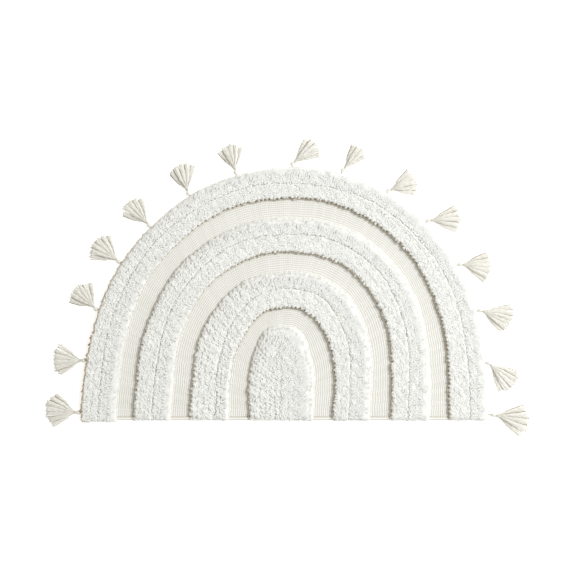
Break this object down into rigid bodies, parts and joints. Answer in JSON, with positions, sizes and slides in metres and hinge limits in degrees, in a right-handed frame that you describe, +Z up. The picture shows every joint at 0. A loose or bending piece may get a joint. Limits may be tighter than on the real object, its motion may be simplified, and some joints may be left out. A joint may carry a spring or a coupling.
{
  "type": "half-moon tufted cotton rug with tied tassels",
  "caption": "Half-moon tufted cotton rug with raised arches of cut pile on a woven ground, a straight hem and tied tassels round its rim.",
  "frame": {"origin": "middle of the whole outline with its tassels, on the floor that the rug lies on", "axes": "+X along the straight hem, +Y from the hem to the crown of the arches, +Z up from the floor"},
  "size_m": [0.9506, 0.5834, 0.0164],
  "materials": {
    "pile": "cut cotton pile on a flat-woven cotton ground, matt",
    "yarn": "loosely spun natural cotton yarn, matt"
  },
  "bodies": {
    "root": {"rug": "pile", "tassel_01": "yarn", "tassel_02": "yarn", "tassel_03": "yarn", "tassel_04": "yarn", "tassel_05": "yarn", "tassel_06": "yarn", "tassel_07": "yarn", "tassel_08": "yarn", "tassel_09": "yarn", "tassel_10": "yarn", "tassel_11": "yarn", "tassel_12": "yarn", "tassel_13": "yarn", "tassel_14": "yarn", "tassel_15": "yarn"}
  },
  "joints": []
}
